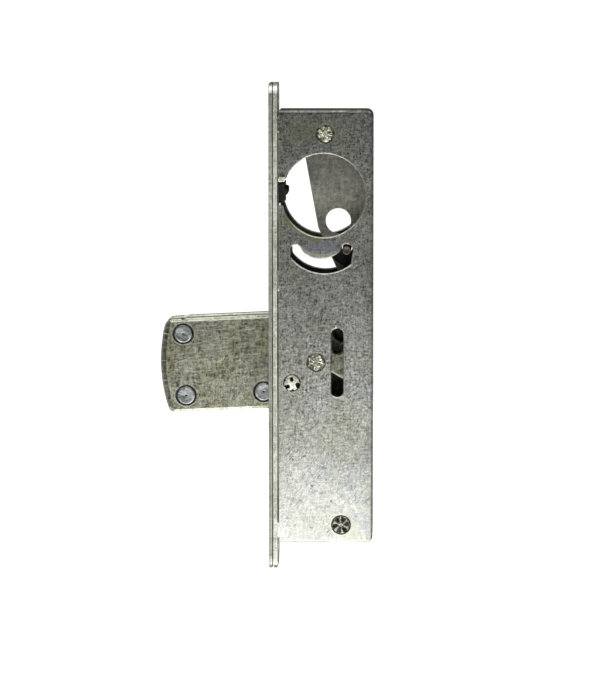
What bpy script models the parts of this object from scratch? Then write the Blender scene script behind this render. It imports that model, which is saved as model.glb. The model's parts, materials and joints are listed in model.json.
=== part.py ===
"""Narrow-stile mortise deadlock with a swinging laminated bolt.

Frame: X runs into the door from the front of the faceplate, Y across the door's thickness,
Z up. The origin is on the faceplate's front face, level with the cylinder's axis, in the
middle of the door's thickness. Outlines are in millimetres as (x, z) or (y, z) pairs, and
become metres when a solid is made.
"""
from math import atan2, cos, degrees, dist, pi, radians, sin, sqrt

import bmesh
import bpy
from mathutils import Matrix, Vector

MM = 0.001
GAP = 0.3                      # running gap between neighbouring solids
POINT_SPACING = 0.12           # outlines have no shorter sides than this

# --- front plates --------------------------------------------------------------------------
PLATE_TOP, PLATE_BOTTOM = 39.9, -134.7
PLATE_HALF_WIDTH = 12.7
PLATE_CORNER = 5.0
TRIM_BACK = 1.4                # faceplate: x 0 to 1.4
MOUNT_FRONT, MOUNT_BACK = 1.7, 3.1
SLOT_TOP, SLOT_BOTTOM = -40.4, -114.5
SLOT_HALF_WIDTH = 8.4
SLOT_CORNER = 1.2
TRIM_SCREW_Z = (24.0, -119.0)
TRIM_SCREW_R = 2.0
TRIM_HEAD_R = 3.5
SINK = ((4.88, 0.8), (2.28, -1.8))     # countersink: radius and height at its two ends
EAR_HOLE_Z = (34.9, -129.7)
EAR_HOLE_R = 2.8

# --- case ----------------------------------------------------------------------------------
CASE_FRONT, CASE_BACK = 3.5, 37.3
CASE_TOP, CASE_BOTTOM = 30.3, -124.8
CASE_HALF = 12.7
WALL = 1.5
CASE_CORNER = 2.4
CASE_ROLL = 0.9                # rounding where the side walls meet the case's other faces
INNER_HALF = CASE_HALF - WALL
TAB_SPANS = ((28.0, 22.5), (-27.0, -34.0), (-117.6, -123.0))   # top and bottom of each wall tab
TAB_REACH = MOUNT_FRONT + 0.3
TAB_OUTER = 11.9               # the tabs keep only the inner part of the wall's thickness

# --- cylinder hole and its clamps -------------------------------------------------------------
CYLINDER = (19.7, 0.0)
CYLINDER_R = 14.9
CLAMP_GATE = (4.9, -3.6)       # top and bottom of the gap that opens the hole to the front edge
GATE_BACK = 6.9
GATE_FLARE = (1.6, 0.5)        # height and depth of the slope at the gap's top and bottom
CLAMP_Z = (4.3, -2.8)
CLAMP_BACK = 5.6
CLAMP_Y = (3.4, 10.6)
CLAMP_SCREW = (6.2, 1.4, 1.5)  # y, z, radius
CLAMP_SCREW_X = (3.9, 6.85)
CLAMP_ACCESS_R = 2.2           # key holes in the mounting plate, in front of the screws

# --- pivots ---------------------------------------------------------------------------------
LEVER_AXIS = (20.2, 21.9)
BOLT_AXIS = (17.0, -59.6)
LOWER_POST = (26.0, -118.3)
GUIDE_RIVET = (8.4, -67.1)
GUIDE_RIVET_R = 2.65
POST_BODY_R = 3.1              # bolt post and lower post between the walls
BOLT_WASHER = (3.4, 5.6)       # bore and outer radius of the washers beside the bolt
BOLT_GUIDE_R = 4.6             # outer radius of the guide behind the near wall
INSPECTION = (24.6, -59.8, 12.4, 2.2)  # slot in the near wall: centre, half length and half width
TENON_R = 3.0
TENON_PROUD = 0.35

# --- operating lever --------------------------------------------------------------------------
LEVER_REST, LEVER_SWEEP = 10.4, 24.6
LEVER_HALF = 1.5
LEVER_SHOULDER = ((10.6, -12.0), (9.6, -1.0))  # two corners of the right side, below the eye
LEVER_SPACER = (4.3, 6.4)      # bore and outer radius of the tubes beside the lever
LEVER_HUB_R = 4.0
LEVER_EYE_R = 6.3
LEVER_LEFT, LEVER_LEFT_LOW = -8.75, -33.0   # straight left side and where it ends
LEVER_HOLE = (-1.26, -31.9, 4.58)      # round hole: sideways, up, radius
SPRING_WINDOW = (1.75, -56.2)  # half width and lower end
SPRING_COIL = (1.15, 0.25, 5)  # coil radius, wire radius and number of turns
DRIVE_PIN_RADIUS = 68.0        # distance of the drive pin from the lever's axis
DRIVE_PIN_LEAD = -0.2          # degrees from the lever's centre line
DRIVE_PIN_R = 1.9

# --- locking pin --------------------------------------------------------------------------------
PIN_CENTRE = (18.8, -15.1)     # centre of the arc that the pin travels on
PIN_TRAVEL_R = 10.1
PIN_START, PIN_SWEEP = -26.0, 128.0
PIN_R = 1.6
PIN_HALF_LENGTH = 12.5
SMILE_LOBES = (2.3, 2.0)       # radii of the lobes at the right and left ends of the walls' slot
SMILE_INNER = (0.1, 2.5, 10.0) # middle of its upper edge: left and up of the pin's arc, radius
SMILE_UNDER = (19.95, -12.5, 15.3)     # its lower edge: centre and radius
COLLAR_R = 6.1                 # discs on the pin, which keep it square in the lever
COLLAR_SPAN = (1.9, 2.8)

# --- bolt -----------------------------------------------------------------------------------------
BOLT_DROOP, BOLT_SWEEP = 2.7, 87.3
BOLT_TIP = 55.9                # middle of the end arc from the pivot
BOLT_END_R = 56.0
BOLT_UP, BOLT_DOWN = 17.4, 16.5
TIP_CHAMFER = (2.1, 1.1)       # width across the side face and depth down the end
EDGE_CHAMFER = 1.1             # both long edges of the side faces
FORK_RELIEF = (24.6, -44.0, -55.3, 1.9)    # x, top, bottom and radius of the near plate's relief
KINK = (47.4, 46.2, 0.3)       # shallow nick in both edges: distances from the pivot, and depth
TIP_RELIEF = 0.12              # how far the edges fall away beyond the nick
OUTER_PLATE = 4.6
CORE_PLATE = 6.1
CORE_RECESS = 0.45
BOLT_HOLE_R = 3.4
RIVET_R = 3.25
BOLT_RIVETS = {"upper": (-47.8, 9.6), "lower": (-46.8, -12.6),
               "heel": (-18.9, -11.2), "inner": (-6.4, 10.6)}
INSERT_R, INSERT_LENGTH, INSERT_START = 2.4, 17.3, -23.8
INSERT_HEIGHTS = {"upper": 3.6, "lower": -5.4}
SIDE_HUB_R, CORE_HUB_R = 5.6, 6.2
FORK_REACH = 17.9              # furthest point of the tail from the pivot
BOLT_HALF = CORE_PLATE / 2 + GAP + OUTER_PLATE

ROUND = 28                     # sides of a full circle on the smaller round pieces


# ============================================================================================
# outlines
# ============================================================================================
def arc(centre, radius, start, end, steps):
    """Points of an arc; angles in degrees, anticlockwise from the first axis."""
    turn = (end - start) / steps
    return [(centre[0] + radius * cos(radians(start + turn * i)),
             centre[1] + radius * sin(radians(start + turn * i))) for i in range(steps + 1)]


def circle(centre, radius, steps=ROUND):
    return arc(centre, radius, 0, 360, steps)[:-1]


def rounded_box(x0, x1, z0, z1, radii, steps=6):
    """Box outline; radii are for the corners (x1,z1), (x0,z1), (x0,z0), (x1,z0)."""
    corners = ((x1, z1, -1, -1, 0), (x0, z1, 1, -1, 90), (x0, z0, 1, 1, 180), (x1, z0, -1, 1, 270))
    points = []
    for (x, z, inward_x, inward_z, start), radius in zip(corners, radii):
        if radius:
            centre = (x + inward_x * radius, z + inward_z * radius)
            points += arc(centre, radius, start, start + 90, steps)
        else:
            points.append((x, z))
    return points


def turned(point, degrees_turned, about=(0.0, 0.0)):
    c, s = cos(radians(degrees_turned)), sin(radians(degrees_turned))
    x, z = point[0] - about[0], point[1] - about[1]
    return (about[0] + c * x - s * z, about[1] + s * x + c * z)


# ============================================================================================
# solids
# ============================================================================================
def clear_scene():
    for old in list(bpy.data.objects):
        bpy.data.objects.remove(old, do_unlink=True)


def new_collection(name):
    group = bpy.data.collections.new(name)
    bpy.context.scene.collection.children.link(group)
    return group


def finish_material(name, colour, roughness, metallic):
    finish = bpy.data.materials.new(name)
    finish.use_nodes = True
    shader = finish.node_tree.nodes["Principled BSDF"]
    shader.inputs["Base Color"].default_value = (*colour, 1.0)
    shader.inputs["Roughness"].default_value = roughness
    shader.inputs["Metallic"].default_value = metallic
    finish.diffuse_color = (*colour, 1.0)
    return finish


def add_object(name, mesh, matrix, group, finish=None):
    piece = bpy.data.objects.new(name, mesh)
    group.objects.link(piece)
    piece.matrix_world = matrix
    if finish:
        mesh.materials.clear()
        mesh.materials.append(finish)
    mesh.shade_smooth()
    mesh.set_sharp_from_angle(angle=radians(30))
    return piece


FACING_Y = Matrix(((1, 0, 0), (0, 0, -1), (0, 1, 0))).to_4x4()   # outline in X and Z
FACING_X = Matrix(((0, 0, 1), (1, 0, 0), (0, 1, 0))).to_4x4()    # outline in Y and Z


def plate(name, loops, span, group, finish=None, facing=FACING_Y, origin=(0, 0), turn=0.0):
    """Flat solid from an outline and its holes, between two values of the facing axis.

    The outline is relative to origin, and turn tilts it there in its own plane.
    """
    curve = bpy.data.curves.new(name, "CURVE")
    curve.dimensions = "2D"
    curve.fill_mode = "BOTH"
    curve.extrude = (span[1] - span[0]) / 2
    for loop in map(spaced, loops):
        spline = curve.splines.new("POLY")
        spline.points.add(len(loop) - 1)
        for point, (a, b) in zip(spline.points, loop):
            point.co = (a, b, 0, 1)
        spline.use_cyclic_u = True
    middle = (span[0] + span[1]) / 2 * MM
    if facing is FACING_Y:
        place = Vector((origin[0] * MM, middle, origin[1] * MM))
    else:
        place = Vector((middle, origin[0] * MM, origin[1] * MM))
    drawn = bpy.data.objects.new(name + "_outline", curve)
    group.objects.link(drawn)
    drawn.matrix_world = Matrix.Translation(place) @ facing @ Matrix.Rotation(radians(turn), 4, "Z")
    bpy.context.view_layer.update()
    evaluated = drawn.evaluated_get(bpy.context.evaluated_depsgraph_get())
    mesh = bpy.data.meshes.new_from_object(evaluated)
    weld = bmesh.new()
    weld.from_mesh(mesh)
    bmesh.ops.remove_doubles(weld, verts=weld.verts, dist=1e-4)
    bmesh.ops.dissolve_limit(weld, angle_limit=radians(0.5), verts=weld.verts, edges=weld.edges)
    weld.to_mesh(mesh)
    weld.free()
    mesh.transform(Matrix.Scale(MM, 4))      # the outline is filled in millimetres
    matrix = drawn.matrix_world.copy()
    bpy.data.objects.remove(drawn, do_unlink=True)
    bpy.data.curves.remove(curve)
    return add_object(name, mesh, matrix, group, finish)


def spaced(loop):
    """The loop without points that all but touch the one before, which an edge break would trip on."""
    kept = []
    for point in loop:
        if not kept or dist(point, kept[-1]) > POINT_SPACING:
            kept.append(point)
    if dist(kept[0], kept[-1]) <= POINT_SPACING:
        kept.pop()
    return kept


def soften(piece, width, angle=40):
    edge = piece.modifiers.new("edge", "BEVEL")
    edge.width = width * MM
    edge.limit_method = "ANGLE"
    edge.angle_limit = radians(angle)
    edge.use_clamp_overlap = False
    return piece


def round_case_edge(piece, y):
    """Rounds the edge between the case's outer outline and its side face at y."""
    mesh = piece.data
    weights = mesh.attributes.new("bevel_weight_edge", "FLOAT", "EDGE")
    corner_x, corner_z = CASE_BACK - CASE_CORNER, (CASE_TOP - CASE_CORNER, CASE_BOTTOM + CASE_CORNER)

    def outer(place):
        on_side = place.x > CASE_BACK - 0.01 or place.z > CASE_TOP - 0.01 or place.z < CASE_BOTTOM + 0.01
        in_corner = place.x > corner_x and not corner_z[1] < place.z < corner_z[0]
        return abs(place.y - y) < 0.01 and (on_side or in_corner)

    for edge, weight in zip(mesh.edges, weights.data):
        ends = [piece.matrix_world @ mesh.vertices[i].co / MM for i in edge.vertices]
        weight.value = 1.0 if all(outer(place) for place in ends) else 0.0
    roll = piece.modifiers.new("rolled_edge", "BEVEL")
    roll.width = CASE_ROLL * MM
    roll.segments = 2
    roll.limit_method = "WEIGHT"
    roll.use_clamp_overlap = False


def cut(piece, cutter):
    cutter.hide_render = True
    cutter.display_type = "WIRE"
    step = piece.modifiers.new(cutter.name, "BOOLEAN")
    step.operation = "DIFFERENCE"
    step.solver = "EXACT"
    step.object = cutter
    return piece


def turned_piece(name, profile, place, axis, group, finish=None, steps=24):
    """Turned solid: profile of (radius, height) runs down its outer side along the axis."""
    mesh = bpy.data.meshes.new(name)
    mesh.from_pydata([(r * MM, 0, h * MM) for r, h in profile],
                     [(i, i + 1) for i in range(len(profile) - 1)], [])
    tilt = Vector((0, 0, 1)).rotation_difference(Vector(axis)).to_matrix().to_4x4()
    matrix = Matrix.Translation(Vector(place) * MM) @ tilt
    piece = add_object(name, mesh, matrix, group, finish)
    screw = piece.modifiers.new("turn", "SCREW")
    screw.steps = screw.render_steps = steps
    screw.use_merge_vertices = True
    screw.merge_threshold = 1e-6
    screw.use_smooth_shade = True
    return piece


def spool(half_lengths_and_radii):
    """Profile of a shaft that is the same on both sides, from (half length, radius) steps."""
    upper = [(radius, half) for half, radius in half_lengths_and_radii]
    points = [(0, upper[0][1])] + upper
    return points + [(r, -h) for r, h in reversed(points)]


def tube_profile(inner, outer, low, high, chamfer=0.3):
    return [(inner, high), (outer - chamfer, high), (outer, high - chamfer),
            (outer, low + chamfer), (outer - chamfer, low), (inner, low), (inner, high)]


# ============================================================================================
# the mechanism's geometry
# ============================================================================================
def lever_angle(t):
    """Lever's angle from straight down; t goes from 0, bolt out, to 1, bolt in."""
    return LEVER_REST - LEVER_SWEEP * t


def around_lever(radius, angle):
    return (LEVER_AXIS[0] + radius * sin(radians(angle)), LEVER_AXIS[1] - radius * cos(radians(angle)))


def drive_pin_in_bolt(t):
    """Drive pin seen from the bolt, about the bolt's axis, as it lies with the bolt out."""
    x, z = around_lever(DRIVE_PIN_RADIUS, lever_angle(t) + DRIVE_PIN_LEAD)
    return turned((x - BOLT_AXIS[0], z - BOLT_AXIS[1]), -BOLT_SWEEP * t)


def locking_pin_in_lever(t):
    """Locking pin seen from the lever: (sideways, down) about the lever's axis."""
    angle = radians(PIN_START - PIN_SWEEP * t)
    x = PIN_CENTRE[0] + PIN_TRAVEL_R * cos(angle) - LEVER_AXIS[0]
    z = PIN_CENTRE[1] + PIN_TRAVEL_R * sin(angle) - LEVER_AXIS[1]
    return turned((x, z), -lever_angle(t))


STAGES = [i / 40 for i in range(41)]


def fork_slot():
    """Direction, half width and inmost place of the open slot that the drive pin works in."""
    path = [drive_pin_in_bolt(t) for t in STAGES]
    directions = [atan2(z, x) for x, z in path]
    heading = (max(directions) + min(directions)) / 2
    along = [x * cos(heading) + z * sin(heading) for x, z in path]
    aside = [z * cos(heading) - x * sin(heading) for x, z in path]
    shift = (max(aside) + min(aside)) / 2
    half = (max(aside) - min(aside)) / 2 + DRIVE_PIN_R + GAP + 0.1
    inmost = min(along) + 0.1
    return heading, shift, half, inmost


def bolt_head(up, down, end_r):
    """Corners and end arc of a bolt plate, from the upper edge to the lower."""
    end_centre = -(BOLT_TIP - BOLT_END_R)
    upper = 180 - degrees(atan2(up - 2.6, sqrt(end_r ** 2 - (up - 2.6) ** 2)))
    lower = 180 + degrees(atan2(down - 1.2, sqrt(end_r ** 2 - (down - 1.2) ** 2)))
    tip = arc((end_centre, 0), end_r, upper, lower, 14)
    first, last = tip[0][0], tip[-1][0]
    top_corner = [(first + 3.0, up - 2 * TIP_RELIEF), (first + 1.6, up - 0.5), (first + 0.6, up - 1.4)]
    return top_corner + tip + [(last + 1.3, -down + 2 * TIP_RELIEF)]


def bolt_heel(down):
    """Rear end of a bolt plate's lower edge, up to the hub."""
    return [(-8.5, -down), (-6.6, -down + 1.0), (-4.6, -5.2)]


def core_outline():
    """Outline of the bolt's middle plate about the bolt's axis, before the droop is added."""
    up, down = BOLT_UP - CORE_RECESS, BOLT_DOWN - CORE_RECESS
    hub = arc((0, 0), CORE_HUB_R, -125, 55, 12)
    head = bolt_head(up, down, BOLT_END_R - CORE_RECESS)
    return head + bolt_heel(down) + hub + [(2.0, 9.0), (2.0, up)]


def side_outline():
    """Outline of the bolt's outer plates, with the nicks in both edges and the drive pin's fork."""
    up, down = BOLT_UP, BOLT_DOWN
    outer_end, inner_end, nick = KINK
    top_nick = [(-inner_end, up), (-inner_end - nick / 2, up - nick),
                (-outer_end + nick / 2, up - nick), (-outer_end, up - TIP_RELIEF)]
    low_nick = [(x, -(z - up + down)) for x, z in reversed(top_nick)]
    heading, shift, half, inmost = fork_slot()
    # the droop is taken out of the fork, whose place is known with the bolt out
    heading -= radians(BOLT_DROOP)
    ahead = (cos(heading), sin(heading))
    aside = (-sin(heading), cos(heading))
    middle = [ahead[i] * inmost + aside[i] * shift for i in (0, 1)]
    turn = degrees(heading)
    round_end = arc(middle, half, turn - 90, turn - 270, 16)
    near_lip = round_end[0]
    far_lip = round_end[-1]
    reach_right = (FORK_REACH - near_lip[0]) / ahead[0]
    right_mouth = (FORK_REACH, near_lip[1] + ahead[1] * reach_right)
    reach_up = (up - far_lip[1]) / ahead[1]
    top_mouth = (far_lip[0] + ahead[0] * reach_up, up)
    hub = arc((0, 0), SIDE_HUB_R, -110, -41, 5)
    tail = [(9.9, -7.4), (15.2, -8.6)] + arc((0, 0), FORK_REACH, -24, -6, 4)
    return (top_nick + bolt_head(up, down, BOLT_END_R) + low_nick + bolt_heel(down) + hub + tail
            + [right_mouth] + round_end + [top_mouth])


def smile_slot():
    """Curved slot in both walls, with a lobe at each end for the locking pin."""
    right = [PIN_CENTRE[i] + PIN_TRAVEL_R * f(radians(PIN_START)) for i, f in ((0, cos), (1, sin))]
    left = [2 * PIN_CENTRE[0] - right[0], right[1]]
    inner = PIN_TRAVEL_R - PIN_R - GAP - 0.1
    points = arc(right, SMILE_LOBES[0], 5, 154, 8)
    points += arc(PIN_CENTRE, inner, -32, -46, 2)
    shift, rise, radius = SMILE_INNER
    points += arc((PIN_CENTRE[0] - shift, PIN_CENTRE[1] + rise), radius, -58, -122, 8)
    points += arc(PIN_CENTRE, inner, -134, -148, 2)
    points += arc(left, SMILE_LOBES[1], 26, 206, 8)
    points += arc(SMILE_UNDER[:2], SMILE_UNDER[2], -142, -52, 16)
    return points


def case_outline(inset=0.0, front=CASE_FRONT):
    corner = max(CASE_CORNER - inset, 0.5)
    return rounded_box(front, CASE_BACK - inset, CASE_BOTTOM + inset, CASE_TOP - inset,
                       (corner, 0, 0, corner))


def wall_outline():
    """Side wall: the case's outline with the tabs that enter the mounting plate."""
    points = [p for p in case_outline() if p[0] > CASE_FRONT + 0.1]
    half = len(points) // 2
    front = [(CASE_FRONT, CASE_TOP)]
    for top, bottom in TAB_SPANS:
        front += [(CASE_FRONT, top), (TAB_REACH, top), (TAB_REACH, bottom), (CASE_FRONT, bottom)]
    front += [(CASE_FRONT, CASE_BOTTOM)]
    return points[:half] + front + points[half:]


def wall_holes(with_window):
    holes = [circle(CYLINDER, CYLINDER_R, 60), smile_slot()]
    for post in (LEVER_AXIS, BOLT_AXIS, LOWER_POST):
        holes.append(circle(post, TENON_R + GAP, 24))
    if with_window:
        holes.append(circle(GUIDE_RIVET, GUIDE_RIVET_R + GAP, 24))
        x, z, half, r = INSPECTION
        holes.append(arc((x, z + half - r), r, 0, 180, 8) + arc((x, z - half + r), r, 180, 360, 8))
    return holes


# ============================================================================================
# the pieces
# ============================================================================================
def make_front_plates(parts, cutters, zinc, trim, steel):
    outline = rounded_box(-PLATE_HALF_WIDTH, PLATE_HALF_WIDTH, PLATE_BOTTOM, PLATE_TOP,
                          (PLATE_CORNER,) * 4)
    slot = rounded_box(-SLOT_HALF_WIDTH, SLOT_HALF_WIDTH, SLOT_BOTTOM, SLOT_TOP, (SLOT_CORNER,) * 4, 3)
    screw_holes = [circle((0, z), TRIM_SCREW_R + GAP, 20) for z in TRIM_SCREW_Z]
    face = plate("faceplate", [outline, slot] + screw_holes, (0, TRIM_BACK), parts, trim, FACING_X)
    for place, z in zip(("top", "bottom"), TRIM_SCREW_Z):
        profile = [(0, SINK[0][1]), *SINK, (0, SINK[1][1])]
        cut(face, turned_piece("sink_" + place, profile, (0, 0, z), (-1, 0, 0), cutters))
    soften(face, 0.25)

    access = [circle((side * CLAMP_SCREW[0], CLAMP_SCREW[1]), CLAMP_ACCESS_R, 20) for side in (1, -1)]
    ears = [circle((0, z), EAR_HOLE_R, 24) for z in EAR_HOLE_Z]
    slits = []
    for side in (-1, 1):
        for top, bottom in TAB_SPANS:
            across = sorted((side * (INNER_HALF - GAP), side * (TAB_OUTER + GAP)))
            slits.append(rounded_box(*across, bottom - GAP, top + GAP, (0,) * 4))
    plate("mounting_plate", [outline, slot] + access + ears + screw_holes + slits,
          (MOUNT_FRONT, MOUNT_BACK), parts, zinc, FACING_X)

    for place, z in zip(("top", "bottom"), TRIM_SCREW_Z):
        # flat head at the faceplate's front, shank through both plates, small recess for the key
        profile = [(0, -1.0), (1.2, -1.0), (1.4, -0.1), (TRIM_HEAD_R, -0.1), (TRIM_HEAD_R, -0.2),
                   (TRIM_SCREW_R, -1.7), (TRIM_SCREW_R, -6.2), (TRIM_SCREW_R - 0.4, -6.6), (0, -6.6)]
        turned_piece("trim_screw_" + place, profile, (0, 0, z), (-1, 0, 0), parts, steel)


def trim_wall(wall, side, cutters):
    """Thins one wall's tabs from outside and opens its cylinder hole to the front edge."""
    side_name = "near" if side < 0 else "far"
    skin = sorted((side * TAB_OUTER, side * (CASE_HALF + 1)))
    strip = rounded_box(TAB_REACH - 1, MOUNT_BACK + GAP, CASE_BOTTOM - 1, CASE_TOP + 1, (0,) * 4)
    cut(wall, plate("tab_skin_" + side_name, [strip], skin, cutters))
    rise, depth = GATE_FLARE
    top, bottom = CLAMP_GATE
    outer, middle, inner = CASE_HALF + depth, CASE_HALF - depth, INNER_HALF - 0.5
    gate = [(outer, top + 2 * rise), (middle, top), (inner, top),
            (inner, bottom), (middle, bottom), (outer, bottom - 2 * rise)]
    cut(wall, plate("clamp_gate_" + side_name, [[(side * y, z) for y, z in gate]],
                    (CASE_FRONT - 1, GATE_BACK), cutters, None, FACING_X))


def make_case(parts, cutters, zinc):
    body = plate("case_body", [wall_outline()], (-INNER_HALF + GAP, CASE_HALF), parts, zinc)
    hollow = plate("case_hollow", [case_outline(WALL, CASE_FRONT - 5)],
                   (-INNER_HALF - 5, INNER_HALF), cutters)
    round_case_edge(body, CASE_HALF)
    cut(body, hollow)
    for number, hole in enumerate(wall_holes(False)):
        cut(body, plate(f"far_hole_{number}", [hole], (INNER_HALF - 3, CASE_HALF + 3), cutters))
    soften(body, 0.35)
    trim_wall(body, 1, cutters)
    cap = plate("case_cap", [wall_outline()] + wall_holes(True), (-CASE_HALF, -INNER_HALF), parts, zinc)
    round_case_edge(cap, -CASE_HALF)
    soften(cap, 0.35)
    trim_wall(cap, -1, cutters)


def make_posts(parts, steel, dark):
    tip = CASE_HALF + TENON_PROUD
    shoulder = INNER_HALF - GAP

    def post(name, place, body_r):
        steps = [(tip, TENON_R - 0.3), (tip - 0.3, TENON_R), (shoulder, TENON_R)]
        if body_r > TENON_R:
            steps.append((shoulder, body_r))
        turned_piece(name, spool(steps), (place[0], 0, place[1]), (0, -1, 0), parts, steel)

    post("lever_post", LEVER_AXIS, LEVER_HUB_R)
    post("bolt_post", BOLT_AXIS, POST_BODY_R)
    post("lower_post", LOWER_POST, POST_BODY_R)
    for side, name in ((-1, "near"), (1, "far")):
        low, high = LEVER_HALF + GAP, shoulder - 0.1
        turned_piece("lever_spacer_" + name, tube_profile(*LEVER_SPACER, low, high),
                     (LEVER_AXIS[0], 0, LEVER_AXIS[1]), (0, side, 0), parts, steel)
        turned_piece("bolt_washer_" + name, tube_profile(*BOLT_WASHER, BOLT_HALF + GAP, high),
                     (BOLT_AXIS[0], 0, BOLT_AXIS[1]), (0, side, 0), parts, dark)
    rivet = [(0, tip), (GUIDE_RIVET_R - 0.3, tip), (GUIDE_RIVET_R, tip - 0.3),
             (GUIDE_RIVET_R, INNER_HALF - 1.4), (0, INNER_HALF - 1.4)]
    turned_piece("guide_rivet", rivet, (GUIDE_RIVET[0], 0, GUIDE_RIVET[1]), (0, -1, 0), parts, steel)
    guide = tube_profile(GUIDE_RIVET_R + GAP, BOLT_GUIDE_R, BOLT_HALF + 0.5, INNER_HALF - GAP)
    turned_piece("bolt_guide", guide, (GUIDE_RIVET[0], 0, GUIDE_RIVET[1]), (0, -1, 0), parts, dark)


def make_clamps(parts, cutters, black):
    offset, z, radius = CLAMP_SCREW
    for side, name in ((-1, "near"), (1, "far")):
        span = sorted((side * CLAMP_Y[0], side * CLAMP_Y[1]))
        outline = rounded_box(span[0], span[1], CLAMP_Z[1], CLAMP_Z[0], (0.4,) * 4, 2)
        plate("clamp_block_" + name, [outline, circle((side * offset, z), radius + GAP, 20)],
              (CASE_FRONT + 0.1, CLAMP_BACK), parts, black, FACING_X)
        front, nose = CLAMP_SCREW_X
        length = nose - front
        profile = [(0, 0), (radius - 0.6, 0), (radius - 0.15, -0.35), (radius, -0.9),
                   (radius, -length + 0.2), (radius - 0.2, -length), (0.8, -length),
                   (0.7, -length + 1.2), (0, -length + 1.2)]
        turned_piece("clamp_screw_" + name, profile, (nose, side * offset, z), (1, 0, 0), parts, black)


def lever_outline():
    """Lever about its axis, hanging straight down, as (sideways, up)."""
    def left_edge(down):
        # a line that lies along the mounting plate when the bolt is in
        end = radians(LEVER_SWEEP - LEVER_REST)
        return -((LEVER_AXIS[0] - MOUNT_BACK - 0.45) - down * sin(end)) / cos(end)

    def right_edge(down):
        # a line that lies along the back wall when the bolt is out
        rest = radians(LEVER_REST)
        return ((CASE_BACK - WALL - 0.45 - LEVER_AXIS[0]) - down * sin(rest)) / cos(rest)

    lead = radians(DRIVE_PIN_LEAD)
    pin = (DRIVE_PIN_RADIUS * sin(lead), -DRIVE_PIN_RADIUS * cos(lead))
    boss = DRIVE_PIN_R + 1.2
    neck = DRIVE_PIN_RADIUS - 3.8
    points = [(LEVER_LEFT, 0), (LEVER_LEFT, LEVER_LEFT_LOW)]
    points += [(left_edge(down), -down) for down in (40.0, 50.0, neck)]
    points += arc(pin, boss, 165, 372, 14)
    points += [(right_edge(down), -down) for down in (neck, 50.0, 30.0, 20.0)]
    points += LEVER_SHOULDER
    points += arc((0, 0), LEVER_EYE_R, 15, 165, 10)
    return points, pin


def make_lever(parts, zinc, steel):
    outline, pin = lever_outline()
    path = [locking_pin_in_lever(t) for t in STAGES]
    aside = [x for x, z in path]
    depth = [z for x, z in path]
    middle = (max(aside) + min(aside)) / 2
    half = (max(aside) - min(aside)) / 2 + PIN_R + GAP
    top, low = max(depth) + PIN_R + GAP, min(depth) - PIN_R - GAP
    window_half, window_low = SPRING_WINDOW
    keyhole = arc((middle, top - half + 0.3), half, 0, 180, 10)
    keyhole += [(middle - half, low), (-window_half, low - 0.6), (-window_half, window_low),
                (window_half, window_low), (window_half, low - 0.6), (middle + half, low)]
    holes = [circle((0, 0), LEVER_HUB_R + GAP, ROUND), circle(LEVER_HOLE[:2], LEVER_HOLE[2], ROUND),
             keyhole, circle(pin, DRIVE_PIN_R + GAP, 24)]
    lever = plate("operating_lever", [outline] + holes, (-LEVER_HALF, LEVER_HALF), parts, zinc,
                  origin=LEVER_AXIS, turn=LEVER_REST)
    soften(lever, 0.2)
    at = turned(pin, LEVER_REST)
    end = BOLT_HALF - 0.3
    turned_piece("drive_pin", spool([(end, DRIVE_PIN_R - 0.35), (end - 0.35, DRIVE_PIN_R)]),
                 (LEVER_AXIS[0] + at[0], 0, LEVER_AXIS[1] + at[1]), (0, -1, 0), parts, steel)

    # coil spring in the lever's window, pressing the locking pin up into its lobe
    radius, wire, turns = SPRING_COIL
    spring_top, spring_low = path[0][1] - PIN_R - GAP - wire, window_low + GAP + wire
    steps = 10
    coil = bpy.data.curves.new("pin_spring", "CURVE")
    coil.dimensions = "3D"
    coil.bevel_depth = wire * MM
    coil.bevel_resolution = 2
    coil.use_fill_caps = True
    thread = coil.splines.new("POLY")
    count = turns * steps
    thread.points.add(count)
    for i in range(count + 1):
        around = 2 * pi * i / steps
        down = spring_top + (spring_low - spring_top) * i / count
        thread.points[i].co = (radius * cos(around) * MM, radius * sin(around) * MM, down * MM, 1)
    spring = bpy.data.objects.new("pin_spring", coil)
    parts.objects.link(spring)
    coil.materials.append(steel)
    spring.location = (LEVER_AXIS[0] * MM, 0, LEVER_AXIS[1] * MM)
    spring.rotation_euler = (0, -radians(LEVER_REST), 0)


def make_locking_pin(parts, steel, black):
    angle = radians(PIN_START)
    x = PIN_CENTRE[0] + PIN_TRAVEL_R * cos(angle)
    z = PIN_CENTRE[1] + PIN_TRAVEL_R * sin(angle)
    profile = spool([(PIN_HALF_LENGTH, PIN_R - 0.3), (PIN_HALF_LENGTH - 0.3, PIN_R)])
    carrier = bpy.data.objects.new("locking_pin_axis", None)
    parts.objects.link(carrier)
    carrier.location = (PIN_CENTRE[0] * MM, 0, PIN_CENTRE[1] * MM)
    pieces = [turned_piece("locking_pin", profile, (x, 0, z), (0, -1, 0), parts, steel)]
    for side, name in ((-1, "near"), (1, "far")):
        pieces.append(turned_piece("pin_collar_" + name, tube_profile(PIN_R + GAP, COLLAR_R, *COLLAR_SPAN),
                                   (x, 0, z), (0, side, 0), parts, black, 32))
    bpy.context.view_layer.update()
    for piece in pieces:
        placed = piece.matrix_world.copy()
        piece.parent = carrier
        piece.matrix_world = placed


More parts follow.
